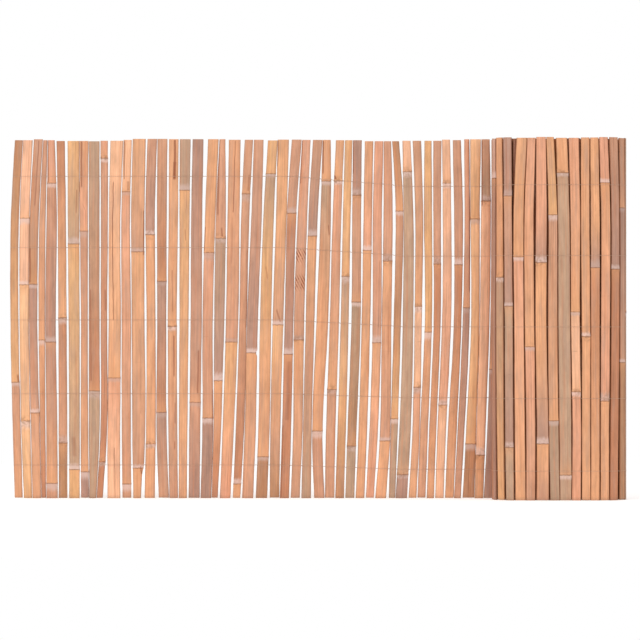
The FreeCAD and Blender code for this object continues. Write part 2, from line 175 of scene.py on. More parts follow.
# %% [markdown]
# ## The inner turns
#
# The CAD shows the inner turns as one wall, with a V groove wherever two slats meet. Walking
# round its foot gives the lips of every groove, and two lips in a row are one slat. Slats read
# off the wall lie where the wall does, which slats set out anew along a spiral might not.

# %% What tells a groove from a plain bend of the wall
GROOVE_SIDE = 2.2 * MM    # a groove's sides are shorter than this
SHARP_TURN = 1.2          # radians that the outline turns at the sharpest corners
GROOVE_TURN = 1.0         # and at least at the bottom of a groove
LEAST_WIDTH = 4 * MM      # of a slat
MOST_CORNERS = 6          # from one groove to the next


# %% Slats of the inner turns from the grooves
def wall_outline(node):
    """The corners of an upright wall's foot, in order."""
    bm = welded(node)
    low = min(v.co.z for v in bm.verts)
    links = {}
    for edge in bm.edges:
        a, b = edge.verts
        if a.co.z > low + MM or b.co.z > low + MM:
            continue
        if any(f.calc_center_median().z > low + MM for f in edge.link_faces):
            links.setdefault(a.index, []).append(b.index)
            links.setdefault(b.index, []).append(a.index)
    first = min(links)
    order = [first, links[first][0]]
    while len(order) < len(links):
        here = order[-1]
        ways = [n for n in links[here] if n != order[-2]]
        order.append(ways[0])
    outline = np.array([bm.verts[i].co[:2] for i in order])
    bm.free()
    return outline


def inner_slats(outline):
    """A plain slat between each groove and the next."""
    before = outline - np.roll(outline, 1, axis=0)
    after = np.roll(outline, -1, axis=0) - outline
    turn = np.arctan2(before[:, 0] * after[:, 1] - before[:, 1] * after[:, 0],
                      (before * after).sum(axis=1))
    short = np.minimum(np.hypot(*before.T), np.hypot(*after.T)) < GROOVE_SIDE
    hand = np.sign(np.median(turn[(np.abs(turn) > SHARP_TURN) & short]))
    grooves = [i for i in range(len(outline)) if short[i] and turn[i] * hand > GROOVE_TURN]
    slats = []
    for a, b in zip(grooves, grooves[1:]):
        start = outline[a + 1]
        end = outline[b - 1]
        width = np.hypot(*(end - start))
        if width < LEAST_WIDTH or b - a > MOST_CORNERS:
            continue
        across = (end - start) / width
        normal = np.array([across[1], -across[0]])
        if (outline[a] - (start + outline[a - 1]) / 2) @ normal < 0:
            normal = -normal
        across = np.array([-normal[1], normal[0]])
        edges = sorted((start @ across, end @ across))
        slats.append({"across": across, "normal": normal, "middle": start @ normal + HALF_THICK,
                      "joints": [], "left": np.full(2, edges[0]), "right": np.full(2, edges[1])})
    return slats


core = inner_slats(wall_outline("roll_inner_turns"))
print(len(core), "slats inside the roll")

# %% [markdown]
# ## Colours
#
# A bamboo slat changes colour at each joint, because the stem dried at a different pace on
# either side. Noise alone never gives such sharp steps, so the tones are written down: every
# slat of the photograph has one capital letter per internode, from its top down, and each
# letter is one tone of dry bamboo. Small letters after it are the tones that the internode
# passes through on its way down. All were chosen.

# %% Tones
TONES = {
    "P": "#E8B08C",    # peach
    "S": "#DA9C7C",    # salmon
    "O": "#D99E75",    # orange tan
    "H": "#DBA675",    # honey
    "N": "#E9B487",    # pale honey
    "K": "#C79274",    # pink brown
    "R": "#BB7F5E",    # red brown
    "B": "#B3805C",    # tan brown
    "G": "#B69378",    # khaki grey
    "M": "#AC8472",    # mauve grey
    "V": "#CBA18E",    # pale mauve
    # D and X are painted shade: the brown of slats in the roll's shadow.
    "D": "#7A3F1E",    # the shaded brown inside the roll
    "X": "#8E5028",    # and a lighter one
}
OPEN_TONES = ("BhKo PPNNh KbMkKo KoOr SKmMoK RoRkB HgHgH OsKoM GrG SKrR PoSp PSkK "
              "OkOkO KmOO KrMrMk OOk GHo MkKm OSkM KGmOr OkHs KKrO KmOk HGhooB OokNokb KRmR "
              "SkOk KmOkg OGooK OSkoK HGhb MKGbG OsO SkOs KOkO BoKbhG PGM KoPSo HOk KRo "
              "PPsP KRo SkMk NhNhB KgPO KM KK SS OK OO SK KS").split()
ROLL_TONES = ("KS OO HH SS KK OS GG SK GG KMkB KmR SOsO OoomRo OO SoPS OGG OhKoG SssmOomOk SoSk "
              "OSo MKmGmG OGh VM KO SK OS KO").split()
BAND_ORDER = "VMGKBRSPONH"    # of the two tones at a joint, the one named first has the waxy band
print(len(TONES), "tones,", len(OPEN_TONES) + len(ROLL_TONES), "slats coloured by hand")


# %% From letters to colours
def split_tones(word):
    """A slat's letters as a list of tones for each internode, from its top down."""
    lists = []
    for letter in word:
        if letter.islower():
            lists[-1].append(letter.upper())
        else:
            lists.append([letter])
    return lists


def linear(hexa):
    """An sRGB hex colour as linear red, green, blue and alpha."""
    parts = [int(hexa[i:i + 2], 16) / 255 for i in (1, 3, 5)]
    return [c / 12.92 if c <= 0.04045 else ((c + 0.055) / 1.055) ** 2.4 for c in parts] + [1.0]


# %% [markdown]
# ## Marks of use
#
# Cracks, dark streaks and stained edges, read off the photograph. Random ones would
# look as likely, but these are the ones that the panel has. A mark runs from one height to
# another, from one place across the slat to another (0 is its middle), all in mm, then comes
# half its width and how dark it is. The 27th slat has two stretches of slanting scratches.
# Three slats have a chipped edge: its height, half its length, its depth, its side.

# %% Marks and broken edges
MARKS = {
    1: ((171, 163, 3.6, 4.2, 1.3, 0.7),),
    3: ((498, 410, 1.2, 0.4, 0.9, 0.5), (348, 302, -4.6, -4.2, 1.1, 0.65)),
    5: ((498, 441, -4.9, -4.6, 0.9, 0.6),),
    7: ((430, 400, 4.6, 4.0, 0.9, 0.45), (84, 60, -0.5, 0.5, 3.0, 0.3)),
    8: ((498, 436, -3.4, -3.0, 1.2, 0.65),),
    9: ((290, 165, -5.0, -4.5, 1.2, 0.45), (146, 142, -3.0, 3.0, 0.8, 0.3)),
    10: ((290, 264, 1.6, 2.2, 1.2, 0.5),),
    11: ((440, 250, -2.6, -2.0, 0.6, 0.85), (70, 2, 1.0, 2.0, 0.5, 0.6)),
    12: ((498, 446, -4.0, -3.2, 0.8, 0.65), (442, 430, 2.5, 3.2, 1.8, 0.4)),
    13: ((400, 340, 8.4, 8.4, 0.8, 0.6), (235, 120, 2.6, 3.0, 0.5, 0.35),
         (44, 34, 3.6, 5.6, 1.0, 0.7)),
    16: ((500, 470, 1.6, 1.8, 1.5, 0.8), (469, 447, 1.8, 1.2, 2.0, 0.9),
         (318, 262, -0.5, 0.5, 1.0, 0.35), (226, 172, 2.2, 2.4, 0.9, 0.7),
         (132, 106, 3.6, 3.4, 0.9, 0.5), (78, 70, 2.4, 2.4, 1.0, 0.5)),
    17: ((374, 360, 0.8, 2.0, 0.6, 0.5),),
    18: ((205, 148, 3.8, 3.2, 1.2, 0.6),),
    19: ((378, 346, -6.2, -6.6, 0.6, 0.6), (150, 80, 6.8, 6.6, 0.8, 0.55)),
    # The first mark here is painted shade: the dark line where the 20th slat closes up against the
    # 19th.
    20: ((498, 397, -4.2, -4.0, 0.9, 0.7), (376, 366, 1.5, 2.5, 1.3, 0.55)),
    21: ((498, 400, 0.9, -0.4, 0.7, 0.6), (390, 330, -1.6, -1.6, 0.5, 0.35)),
    22: ((450, 430, 3.2, 2.8, 1.3, 0.45), (345, 240, 4.2, 4.4, 0.8, 0.5)),
    24: ((322, 308, -1.0, 1.5, 1.1, 0.35),),
    25: ((498, 465, -6.9, -6.9, 0.8, 0.6), (262, 247, -2.0, 3.0, 1.3, 0.5)),
    26: ((190, 110, 1.5, 0.5, 3.0, 0.3), (100, 2, -5.0, -4.6, 0.8, 0.6)),
    27: ((498, 440, -5.0, -4.9, 0.8, 0.55),),
    29: ((498, 455, -4.8, -4.6, 1.0, 0.75), (380, 369, 4.4, 5.4, 0.9, 0.6)),
    30: ((450, 446, -5.2, -3.6, 1.4, 0.8),),
    32: ((498, 455, -5.4, -5.4, 0.9, 0.6),),
    34: ((330, 240, 3.0, 2.4, 0.5, 0.4),),
    41: ((300, 180, -1.5, -1.0, 0.45, 0.45),),
    43: ((498, 290, 3.4, 3.2, 0.8, 0.7),),
    45: ((498, 410, -5.0, -5.0, 0.8, 0.7),),
    46: ((462, 452, -1.0, 0.5, 1.4, 0.6), (440, 330, 3.0, 2.6, 0.6, 0.4)),
}
SCARS = {27: ((339.0, 9.0), (301.0, 10.0))}    # middle and half length of a scratched stretch
BROKEN = {23: (203.0, 3.0, 1.6, 1), 9: (95.0, 3.0, 1.2, 1), 13: (8.0, 34.0, 2.2, 1)}
for label, table in (("marks", MARKS), ("scars", SCARS), ("broken", BROKEN)):
    for number, what in table.items():
        open_run[number - 1][label] = what
    print(label, "on", len(table), "slats")

# %% [markdown]
# ## Guides
#
# No split of a stem is quite straight or even, so each slat is drawn along a guide: a row of
# points up its middle. Each point carries what the slat is like at that height. Points crowd
# together at the joints, where the shape changes fast, so that the rest can do with few.

# %% Heights of a slat's sections
JOINT_STEPS = (-9, -5, -3, -1.7, -0.9, -0.35, 0.35, 0.9, 1.7, 3, 5, 9)    # mm from a joint
SCAR_STEPS = (-1.3, -1, -0.5, 0.5, 1, 1.3)    # half lengths from a scratched stretch's middle
END_STEP = 0.4 * MM                           # from a sawn end to the next section
MARK_FADE = 3                                 # mm over which a mark comes and goes


def section_heights(slat, count):
    """count heights from foot to top, close together at the ends, the joints and the marks."""
    foot = slat["z"][0]
    top = slat["z"][-1]
    heights = [foot, foot + END_STEP, top - END_STEP, top]
    for z in slat["joints"]:
        near = [z + step * MM for step in JOINT_STEPS]
        heights += [height for height in near if foot + MM < height < top - MM]
    for start, end, *rest in slat.get("marks", ()):
        near = (start + MARK_FADE, start, end, end - MARK_FADE)
        heights += [min(max(height * MM, foot + MM), top - MM) for height in near]
    for middle, long in slat.get("scars", ()):
        heights += [(middle + step * long) * MM for step in SCAR_STEPS]
    even = np.linspace(foot, top, count - len(heights) + 2)[1:-1]
    return np.sort(np.concatenate([heights, even]))[:count]


# %% Tones from joint to joint
def tones_by_height(z, cuts, stops_of):
    """The slat's colour at each height, passing through the stops of each internode."""
    tone = np.zeros((len(z), 4))
    for stops, high, low in zip(stops_of, cuts, cuts[1:]):
        inside = (z <= high) & (z >= low)
        way = (high - z[inside]) / (high - low)
        known = np.array([linear(TONES[stop]) for stop in stops])
        for part in range(4):
            tone[inside, part] = np.interp(way, np.linspace(0, 1, len(stops)), known[:, part])
    return tone


# %% [markdown]
# At a joint the stem swells by a fraction of a millimetre and often turns a little. The
# material needs to know the nearest joint, so each guide point also gets how far off that
# joint is, counted positive on the side with the pale waxy band, how strong the band is, and
# how smudged the joint is. Halfway between two joints the band's strength is 0, because the
# colours of one joint mustn't run over into the other's.

# %% What the joints do to a slat
JOINT_SWELL = 0.32 * MM
SWELL_LENGTH = 2.4                # mm from the joint in which most of the swelling fades
KINK_LENGTH = 2.0                 # mm in which the slat takes its new line
MOST_KINK = 0.12                  # mm that it steps sideways
BAND_WIDTHS = (0.9, 2.2)          # a waxy band is this many times as wide as the material has it
BAND_STRENGTHS = (0.4, 1.0)
SMUDGES = (0.0, 0.3, 0.8)


def joint_shapes(z, joints, stops_of, rng):
    """The ring layer of a guide, and how the joints swell the slat and shift its middle."""
    ring = np.zeros((len(z), 3))
    ring[:, 0] = 99.0
    reach = np.full(len(z), 999.0)
    owner = np.zeros(len(z))
    swell = np.zeros(len(z))
    kink = np.zeros(len(z))
    for n, joint_z in enumerate(joints):
        above, below = stops_of[n][-1], stops_of[n + 1][0]
        side = float(np.sign(BAND_ORDER.index(below) - BAND_ORDER.index(above)))
        side = side or rng.choice((-1.0, 1.0))
        off = (z - joint_z) / MM
        close = np.abs(off) < reach
        reach = np.where(close, np.abs(off), reach)
        owner = np.where(close, n, owner)
        banded = off * side
        banded = np.where(banded > 1.0, 1.0 + (banded - 1.0) / rng.uniform(*BAND_WIDTHS), banded)
        ring[close, 0] = banded[close]
        ring[close, 1] = rng.uniform(*BAND_STRENGTHS)
        ring[close, 2] = rng.choice(SMUDGES)
        swell += np.exp(-(off / SWELL_LENGTH) ** 2) * JOINT_SWELL
        kink += np.tanh(off / KINK_LENGTH) * rng.uniform(-MOST_KINK, MOST_KINK) * MM
    change = np.flatnonzero(np.diff(owner))
    ring[change, 1] = 0.0
    ring[change + 1, 1] = 0.0
    return ring, swell, kink


# %% The slat's middle and half its width
WAVE = 0.05 * MM          # how far the slat's middle and edges wander
WIDER_AT_JOINT = 0.9      # of the swelling, on each edge
END_BEVEL = 0.25 * MM     # the worn corner of a sawn end


def middle_and_half(z, slat, swell, kink, end, trim, rng):
    """The middle of the slat's width and half its width at each height, with any chip."""
    left = smooth(z, slat["z"], slat["left"])
    right = smooth(z, slat["z"], slat["right"])
    wave = np.sin(z * rng.uniform(40, 70) + rng.uniform(0, 6)) + np.sin(z * rng.uniform(110, 190))
    middle = (left + right) / 2 + kink + wave * WAVE
    wave = np.sin(z * rng.uniform(60, 90) + rng.uniform(0, 6)) + np.sin(z * rng.uniform(200, 300))
    half = (right - left) / 2 + swell * WIDER_AT_JOINT + wave * WAVE
    half -= np.where(end, END_BEVEL, 0) + trim
    if "broken" in slat:
        broken_z, long, deep, side = slat["broken"]
        chip = np.exp(-((z / MM - broken_z) / long) ** 8) * deep * MM / 2
        half -= chip
        middle -= side * chip
    return middle, half


# %% Cracks and scratches by height
DRYING_CRACK = 0.3        # half its width in mm
CRACK_LENGTHS = (15, 60)  # half lengths in mm
MARK_REACH = 30.0         # mm past its end in which a mark still has the crack's place


def crack_line(z, slat, rng):
    """Where the nearest crack or mark lies across the slat, its darkness and half its width."""
    line = np.zeros((len(z), 3))
    line[:, 0] = rng.uniform(-0.6, 0.6) * (slat["right"][0] - slat["left"][0]) / 2 / MM
    line[:, 2] = DRYING_CRACK
    if rng.random() < 0.5:
        middle = rng.uniform(z[0], z[-1])
        long = rng.uniform(*CRACK_LENGTHS) * MM
        line[:, 1] = 0.5 * np.exp(-((z - middle) / long) ** 2)
    closest = np.full(len(z), MARK_REACH)
    for start, stop, from_a, to_a, wide, dark in slat.get("marks", ()):
        t = np.clip((start - z / MM) / (start - stop), 0, 1)
        away = np.abs(z / MM - (start + (stop - start) * t))
        mine = away < closest
        closest = np.minimum(closest, away)
        line[mine, 0] = (from_a + (to_a - from_a) * t)[mine]
        line[mine, 1] = np.where(away < 0.1, dark, 0.0)[mine]
        line[mine, 2] = wide
    return line


def scratched(z, slat):
    """How badly the slat is scratched at each height, from 0 to 1."""
    amount = np.zeros(len(z))
    for middle, long in slat.get("scars", ()):
        amount += np.exp(-((z / MM - middle) / long) ** 4)
    return amount


# %% All that a guide knows, by the name of its layer
LAYERS = {"half": "FLOAT", "across": "FLOAT_VECTOR", "swell": "FLOAT", "plump": "FLOAT",
          "tone": "FLOAT_COLOR", "ring": "FLOAT_VECTOR", "crack": "FLOAT_VECTOR", "scar": "FLOAT"}
FIELDS = {"FLOAT": "value", "FLOAT_VECTOR": "vector", "FLOAT_COLOR": "color"}
END_CUT = 0.2 * MM        # how far up a sawn end's own sections are
END_PLUMP = 0.86          # a sawn end is this much of the full thickness


def slat_guide(slat, letters, count, trim, rng):
    """The guide points of one slat and their layers."""
    z = section_heights(slat, count)
    end = (z - z[0] < END_CUT) | (z[-1] - z < END_CUT)
    stops_of = split_tones(letters)
    joints = sorted(slat["joints"], reverse=True)
    tone = tones_by_height(z, [z[-1], *joints, z[0]], stops_of)
    ring, swell, kink = joint_shapes(z, joints, stops_of, rng)
    tone[:, :3] *= rng.uniform(0.96, 1.04) * (1 + rng.uniform(-0.015, 0.015, 3))
    middle, half = middle_and_half(z, slat, swell, kink, end, trim, rng)
    plan = np.outer(middle, slat["across"]) + slat["normal"] * slat["middle"]
    return {"spot": np.column_stack([plan, z]), "half": half,
            "across": np.tile([*slat["across"], 0.0], (count, 1)), "swell": swell,
            "plump": np.where(end, END_PLUMP, 1.0), "tone": tone, "ring": ring,
            "crack": crack_line(z, slat, rng), "scar": scratched(z, slat)}


def guide_mesh(name, slats, tones, count, seed, trim=0.0):
    """A mesh of guide points, count for each slat. trim is taken off both edges of a slat."""
    rng = np.random.default_rng(seed)
    guides = [slat_guide(slat, word, count, trim, rng) for slat, word in zip(slats, tones)]
    spots = np.concatenate([guide["spot"] for guide in guides])
    mesh = bpy.data.meshes.new(name)
    mesh.vertices.add(len(spots))
    mesh.vertices.foreach_set("co", spots.ravel())
    for label, kind in LAYERS.items():
        values = np.concatenate([guide[label] for guide in guides])
        layer = mesh.attributes.new(label, kind, "POINT")
        layer.data.foreach_set(FIELDS[kind], values.astype(np.float32).ravel())
    return mesh


# %% [markdown]
# ## The template
#
# One slat drawn flat: rings of sixteen points, as many as there are sections. Its points
# don't know where they will stand. They know their section, their side (-1 left edge, 1 right
# edge), how far in from that edge they sit, and how deep: minus is the flat inner side of the
# stem, plus the rounded skin side. A curve with a profile would be quicker to set up, but it
# gives every slat the same section from end to end.

# %% Sixteen points round a slat: side, way in from the edge and depth, both in mm
PROFILE = ((-1, 0.25, -1.7), (-0.45, 0, -1.66), (0.45, 0, -1.66), (1, -0.25, -1.7),
           (1, 0, -1.4), (1, -0.03, -0.3), (1, -0.12, 0.45), (1, -0.6, 1.1),
           (1, -1.7, 1.58), (0.4, 0, 1.7), (-0.4, 0, 1.7), (-1, 1.7, 1.58),
           (-1, 0.6, 1.1), (-1, 0.12, 0.45), (-1, 0.03, -0.3), (-1, 0, -1.4))


def template(count):
    """The flat-drawn slat, as an object."""
    ring = len(PROFILE)
    verts = [(side, depth, k) for k in range(count) for side, inset, depth in PROFILE]
    faces = [tuple(range(ring))[::-1], tuple(range(ring * (count - 1), ring * count))]
    for k in range(count - 1):
        for i in range(ring):
            j = (i + 1) % ring
            a = k * ring
            faces.append((a + i, a + j, a + ring + j, a + ring + i))
    mesh = bpy.data.meshes.new("template")
    mesh.from_pydata(verts, [], faces)
    points = np.tile(np.array(PROFILE), (count, 1))
    levels = np.repeat(np.arange(count), ring)
    for label, values in (("section", levels), ("side", points[:, 0]),
                          ("inset", points[:, 1] * MM), ("depth", points[:, 2] * MM)):
        layer = mesh.attributes.new(label, "FLOAT", "POINT")
        layer.data.foreach_set("value", values.astype(np.float32))
    obj = bpy.data.objects.new("template", mesh)
    scene.collection.objects.link(obj)
    return obj


front_template = template(SECTIONS)
core_template = template(CORE_SECTIONS)
for spare in (front_template, core_template):
    print("template with", len(spare.data.polygons), "faces")

# %% [markdown]
# ## The node tree that grows slats
#
# The tree puts one template on the first point of every guide, makes the copies real, and
# then moves each point to its place: it looks up its own section on its own slat's guide, goes
# out along the slat's width and depth, and adds a little unevenness. It also hands on to the
# material what the guide knows at that height. One tree makes all the slats, so a change to
# the way that a slat is drawn is made once.


# %% Small helpers for node trees
def feed(tree, socket, value):
    """Sets an input to a value, or links it to a socket or to a node's first visible output."""
    if isinstance(value, bpy.types.Node):
        value = next(output for output in value.outputs if output.enabled)
    if isinstance(value, bpy.types.NodeSocket):
        tree.links.new(value, socket)
    else:
        socket.default_value = value


def add(tree, kind, *feeds, **settings):
    """Adds a node. What feeds it comes in the order of its visible inputs, or in a dictionary."""
    node = tree.nodes.new(kind)
    for name, value in settings.items():
        setattr(node, name, value)
    visible = [socket for socket in node.inputs if socket.enabled]
    pairs = list(zip(visible, feeds))
    if feeds and isinstance(feeds[0], dict):
        pairs = [(node.inputs[name], value) for name, value in feeds[0].items()]
    for socket, value in pairs:
        feed(tree, socket, value)
    return node


def new_tree(name, sockets):
    """A geometry tree with named inputs, and its input and output sockets."""
    tree = bpy.data.node_groups.new(name, "GeometryNodeTree")
    tree.interface.new_socket("Geometry", in_out="OUTPUT", socket_type="NodeSocketGeometry")
    tree.interface.new_socket("Geometry", in_out="INPUT", socket_type="NodeSocketGeometry")
    for label, kind in sockets.items():
        tree.interface.new_socket(label, in_out="INPUT", socket_type="NodeSocket" + kind)
    start = tree.nodes.new("NodeGroupInput")
    end = tree.nodes.new("NodeGroupOutput")
    return tree, start.outputs, end.inputs[0]


# %% Kinds of node that come up again and again
MATH = "ShaderNodeMath"
VECTOR = "ShaderNodeVectorMath"
SPLIT = "ShaderNodeSeparateXYZ"
JOIN = "ShaderNodeCombineXYZ"
RANGE = "ShaderNodeMapRange"
MIX = "ShaderNodeMix"
KNOWN = "GeometryNodeInputNamedAttribute"
KEEP = "GeometryNodeStoreNamedAttribute"
REAL = "GeometryNodeRealizeInstances"


# %% A real copy of the template for each guide
def slat_copies(tree, given):
    """Copies of the template, whose points know the number of their slat."""
    index = add(tree, "GeometryNodeInputIndex")
    within = add(tree, MATH, index, given["Sections"], operation="MODULO")
    is_first = add(tree, MATH, within, 0.5, operation="LESS_THAN")
    number = add(tree, MATH, index, given["Sections"], operation="DIVIDE")
    number = add(tree, MATH, number, operation="ROUND")
    guides = add(tree, KEEP, given["Geometry"], True, "slat", number, data_type="FLOAT")
    points = add(tree, "GeometryNodeMeshToPoints", guides, is_first)
    flat_slat = add(tree, "GeometryNodeObjectInfo", given["Template"]).outputs["Geometry"]
    copies = add(tree, "GeometryNodeInstanceOnPoints", points, True, flat_slat)
    return add(tree, REAL, copies)


# %% What a template point looks up on its guide
def look_up(tree, given, own):
    """Each layer of the guide, and the guide point itself, at the template point's section."""
    row = add(tree, MATH, own["slat"], given["Sections"], own["section"], operation="MULTIPLY_ADD")
    layers = {label: (add(tree, KNOWN, label, data_type=kind), kind)
              for label, kind in LAYERS.items()}
    layers["spot"] = (add(tree, "GeometryNodeInputPosition"), "FLOAT_VECTOR")
    return {label: add(tree, "GeometryNodeSampleIndex", given["Geometry"], layer, row, data_type=kind)
            for label, (layer, kind) in layers.items()}


# %% The lumps on a slat's faces
LUMPS_ACROSS = 120.0      # lumps a metre, so one is 8 mm wide
LUMPS_ALONG = 22.0        # and 45 mm long
NEXT_SLAT = 3.7           # lumps skipped from one slat to the next
MEAN_LUMP = 0.62          # height of the noise that leaves a face where it is


def lumps(tree, given, own, along, height):
    """How far a face is pushed out, in metres."""
    place = add(tree, JOIN,
                add(tree, MATH, along, LUMPS_ACROSS, operation="MULTIPLY"),
                add(tree, MATH, height, LUMPS_ALONG, operation="MULTIPLY"),
                add(tree, MATH, own["slat"], NEXT_SLAT, given["Seed"], operation="MULTIPLY_ADD"))
    bumps = add(tree, "ShaderNodeTexNoise", place, 1.0, 2.0)
    uneven = add(tree, MATH, bumps, MEAN_LUMP, operation="SUBTRACT")
    return add(tree, MATH, uneven, given["Unevenness"], operation="MULTIPLY")


# %% Each point to its place
def move_points(tree, given, slats, own, guide, along, height):
    """Moves the points along the slat's width, and out along its depth."""
    across = add(tree, SPLIT, guide["across"]).outputs
    back = add(tree, MATH, across["X"], -1.0, operation="MULTIPLY")
    normal = add(tree, JOIN, across["Y"], back, 0.0)
    uneven = lumps(tree, given, own, along, height)
    puff = add(tree, MATH, guide["swell"], uneven, operation="ADD")
    outwards = add(tree, MATH, own["depth"], operation="SIGN")
    puff = add(tree, MATH, outwards, puff, operation="MULTIPLY")
    out = add(tree, MATH, own["depth"], guide["plump"], puff, operation="MULTIPLY_ADD")
    sideways = add(tree, VECTOR, guide["across"], along, operation="SCALE")
    outwards = add(tree, VECTOR, normal, out, operation="SCALE")
    moved = add(tree, VECTOR, guide["spot"], sideways, operation="ADD")
    moved = add(tree, VECTOR, moved, outwards, operation="ADD")
    return add(tree, "GeometryNodeSetPosition", slats, True, moved)


# %% What the material will read
PITH_START = 0.3 * MM     # depth inside the slat's middle where its pith side begins
PITH_RISE = -700.0        # how fast it sets in, per metre further down
PER_METRE = 1000.0        # the material counts in mm


def label_points(tree, given, slats, own, guide, along, height):
    """Stores a place in mm, the guide's layers, and the distance from the edge and the pith."""
    grain = add(tree, JOIN,
                add(tree, MATH, along, PER_METRE, operation="MULTIPLY"),
                add(tree, MATH, height, PER_METRE, operation="MULTIPLY"),
                add(tree, MATH, own["slat"], given["Seed"], operation="ADD"))
    width = add(tree, MATH, along, operation="ABSOLUTE")
    edge = add(tree, MATH, guide["half"], width, operation="SUBTRACT")
    inner = add(tree, MATH, own["depth"], PITH_START, operation="ADD")
    inner = add(tree, MATH, inner, PITH_RISE, operation="MULTIPLY")
    inner = add(tree, MATH, inner, 1.0, operation="MINIMUM")
    side_of = add(tree, JOIN,
                  add(tree, MATH, edge, PER_METRE, operation="MULTIPLY"),
                  add(tree, MATH, inner, given["Pith"], operation="MULTIPLY"), 0.0)
    layers = {"grain": (grain, "FLOAT_VECTOR"), "side_of": (side_of, "FLOAT_VECTOR")}
    for label in ("tone", "ring", "crack", "scar"):
        layers[label] = (guide[label], LAYERS[label])
    for label, (value, kind) in layers.items():
        slats = add(tree, KEEP, slats, True, label, value, data_type=kind)
    return slats


# %% The slat tree
def slat_tree():
    """From guide points to slats with their material."""
    tree, given, result = new_tree("Slats on guides", {
        "Template": "Object", "Sections": "Float", "Unevenness": "Float", "Pith": "Float",
        "Seed": "Float", "Material": "Material"})
    own = {label: add(tree, KNOWN, label, data_type="FLOAT")
           for label in ("slat", "section", "side", "inset", "depth")}
    guide = look_up(tree, given, own)
    along = add(tree, MATH, own["side"], guide["half"], own["inset"], operation="MULTIPLY_ADD")
    height = add(tree, SPLIT, guide["spot"]).outputs["Z"]
    slats = slat_copies(tree, given)
    slats = move_points(tree, given, slats, own, guide, along, height)
    slats = label_points(tree, given, slats, own, guide, along, height)
    slats = add(tree, REAL, slats)
    feed(tree, result, add(tree, "GeometryNodeSetMaterial", slats, True, given["Material"]))
    print(tree.name, len(tree.nodes), "nodes")
    return tree


# %% From a tree to a plain mesh
def grow(name, mesh, tree, values):
    """Runs a tree on a guide mesh, and returns the result as an object with a plain mesh."""
    obj = bpy.data.objects.new(name, mesh)
    scene.collection.objects.link(obj)
    modifier = obj.modifiers.new("Grow", "NODES")
    modifier.node_group = tree
    for item in tree.interface.items_tree:
        if item.in_out == "INPUT" and item.name in values:
            modifier[item.identifier] = values[item.name]
    depsgraph = bpy.context.evaluated_depsgraph_get()
    plain = bpy.data.meshes.new_from_object(
        obj.evaluated_get(depsgraph), preserve_all_data_layers=True, depsgraph=depsgraph)
    obj.modifiers.remove(modifier)
    obj.data = plain
    bpy.data.meshes.remove(mesh)
    bm = bmesh.new()
    bm.from_mesh(plain)
    bmesh.ops.recalc_face_normals(bm, faces=bm.faces)
    bm.to_mesh(plain)
    bm.free()
    plain.name = name
    print(name, len(plain.polygons), "faces")
    return obj


# %% [markdown]
# ## Materials
#
# **Split bamboo, sun-dried and left raw.** The eye gets long fibres along the slat, a fine
# dark line at each joint with a pale waxy band on one side of it, a few thin drying cracks,
# and sawn ends with the dots of the stem's bundles. A picture of bamboo would repeat from slat
# to slat. Noise that is stretched along the slat never does, and it reads each point's place
# on its slat in mm, so every pattern has a real size.

# %% Patterns: repeats per mm across a slat and along it, and the step to the next slat
PATTERNS = {
    "fibre": (3.2, 0.05, 9.1),        # 0.3 mm wide, 20 mm long
    "streak": (0.65, 0.010, 5.3),     # 1.5 mm wide, 100 mm long
    "cloud": (0.11, 0.028, 3.1),      # 9 mm wide, 36 mm long
    "warm": (0.30, 0.008, 7.7),       # 3 mm wide, 125 mm long
    "dull": (0.16, 0.016, 1.9),       # 6 mm wide, 60 mm long
    "speck": (0.8, 0.35, 2.3),        # 1.2 mm wide, 3 mm long
    "wobble": (0.35, 0.0, 6.1),       # how the line of a joint wanders
    "fray": (0.5, 0.1, 8.8),          # how the edge of the waxy band frays
    "dirt": (0.25, 0.22, 2.7),        # the blots of a smudged joint
    "worn": (0.3, 0.0, 3.3),          # where the line of a joint has gone faint
    "drift": (0.0, 0.04, 4.4),        # how a crack wanders
    "skip": (0.2, 0.12, 5.9),         # where a scratch is faint
    "coarse": (1.3, 0.012, 6.6),      # the open fibres of the pith side
}


def pattern(tree, grain, name, detail=2.0, rough=0.5):
    """Noise drawn out along the slat."""
    place = add(tree, "ShaderNodeMapping", {"Vector": grain, "Scale": PATTERNS[name]})
    return add(tree, "ShaderNodeTexNoise", place, 1.0, detail, rough)


# %% Stains, as sRGB colours
STAINS = {
    "warm streak": "#C97F56",
    "dull streak": "#B5917E",
    "speck": "#8A5A3A",
    "faint band": "#BFA296",
    "waxy band": "#E4C6BA",
    "warm zone": "#E2A272",
    "smudge": "#8E6446",
    "joint line": "#85573A",
    # painted shade at the foot of the slats
    "painted foot shade": "#8E705A",
    # also the colour of the marks, one of which is painted shade
    "crack": "#8A4A2C",
    "pith side": "#D9B98E",
    "sawn end": "#E0BF92",
    "bundle": "#7A5230",
    "dull wire": "#B89279",
    "bare wire": "#CCAC93",
}


def stained(tree, amount, colour, stain):
    """A colour with some of a stain over it."""
    return add(tree, MIX, amount, colour, linear(STAINS[stain]), data_type="RGBA")


# %% Fibres, and streaks of other tones
def fibres(tree, grain, tone):
    """The slat's tone, lighter and darker by its fibres, its streaks and slow clouds."""
    fine = pattern(tree, grain, "fibre", 3.0, 0.6)
    streak = pattern(tree, grain, "streak")
    cloud = pattern(tree, grain, "cloud", 3.0, 0.6)
    light = add(tree, MATH, fine, 0.30, 0.22, operation="MULTIPLY_ADD")
    light = add(tree, MATH, streak, 0.60, light, operation="MULTIPLY_ADD")
    light = add(tree, MATH, cloud, 0.70, light, operation="MULTIPLY_ADD")
    return add(tree, VECTOR, tone, light, operation="SCALE"), fine, streak


